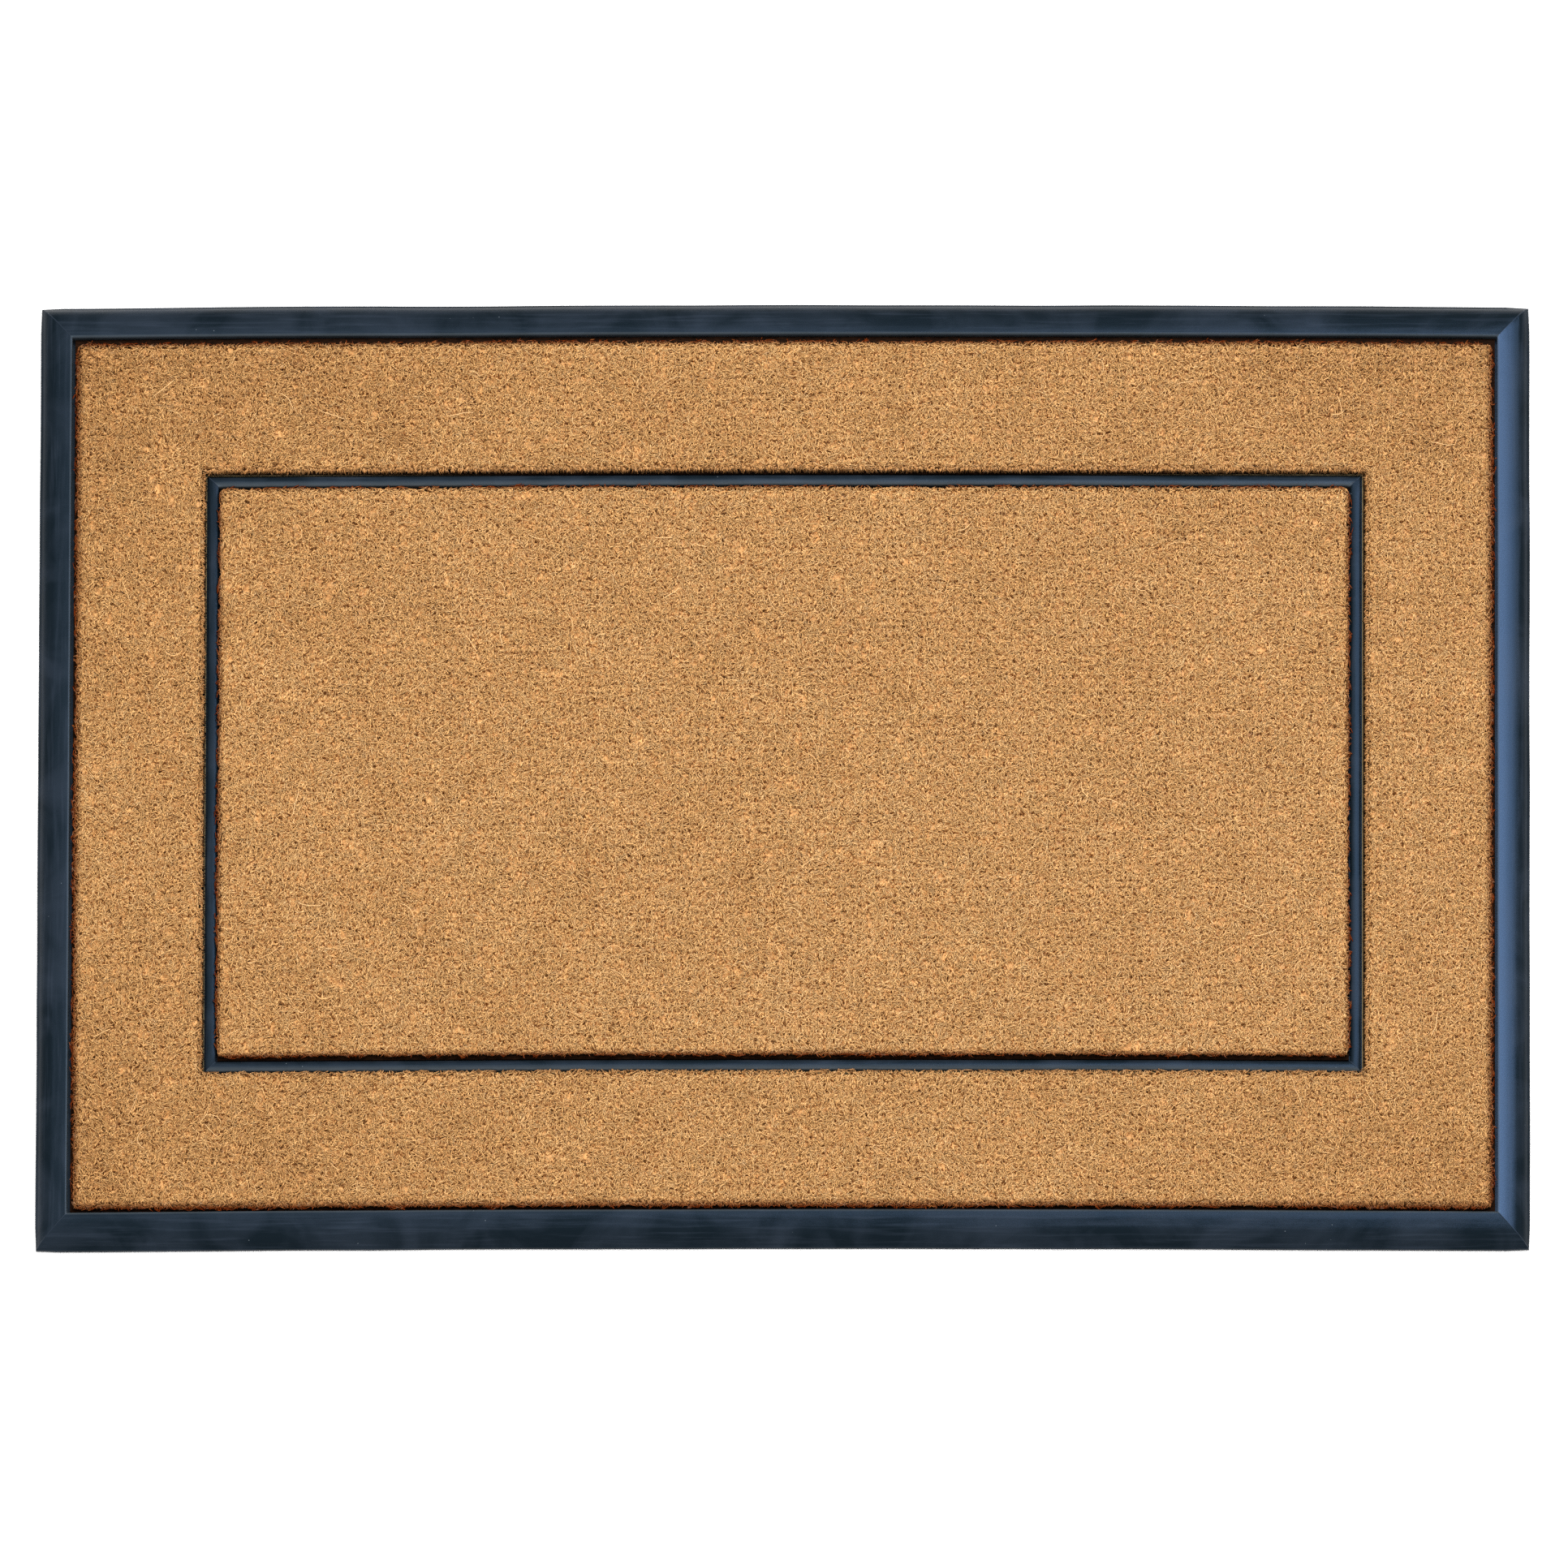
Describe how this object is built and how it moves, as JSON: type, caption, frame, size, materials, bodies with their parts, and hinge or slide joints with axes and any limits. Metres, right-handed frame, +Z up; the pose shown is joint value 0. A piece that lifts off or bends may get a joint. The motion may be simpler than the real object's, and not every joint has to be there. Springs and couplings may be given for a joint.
{
  "type": "door mat",
  "caption": "Rectangular door mat: a moulded black rubber tray with a mitred border and a raised inner rib, holding a ring and a centre field of brushed coir pile.",
  "frame": {"origin": "on the ground at the middle of the mat's underside", "axes": "+X along the long side, +Y towards the far long side, +Z up out of the pile"},
  "size_m": [0.914, 0.61, 0.014],
  "materials": {
    "rubber": "semi-matt moulded rubber with a dusty bloom",
    "coir_pile": "brushed cut coir pile, golden brown",
    "coir_yarn": "twisted coir yarn",
    "latex": "matt tan latex back coat",
    "adhesive": "cured contact adhesive film"
  },
  "bodies": {
    "root": {"rubber_tray": "rubber", "border_inlay_adhesive": "adhesive", "border_inlay_backing": "latex", "border_inlay_weft": "coir_yarn", "border_inlay_warp": "coir_yarn", "border_pile_north": "coir_pile", "border_pile_south": "coir_pile", "border_pile_east": "coir_pile", "border_pile_west": "coir_pile", "centre_inlay_adhesive": "adhesive", "centre_inlay_backing": "latex", "centre_inlay_weft": "coir_yarn", "centre_inlay_warp": "coir_yarn", "centre_pile": "coir_pile"}
  },
  "joints": []
}
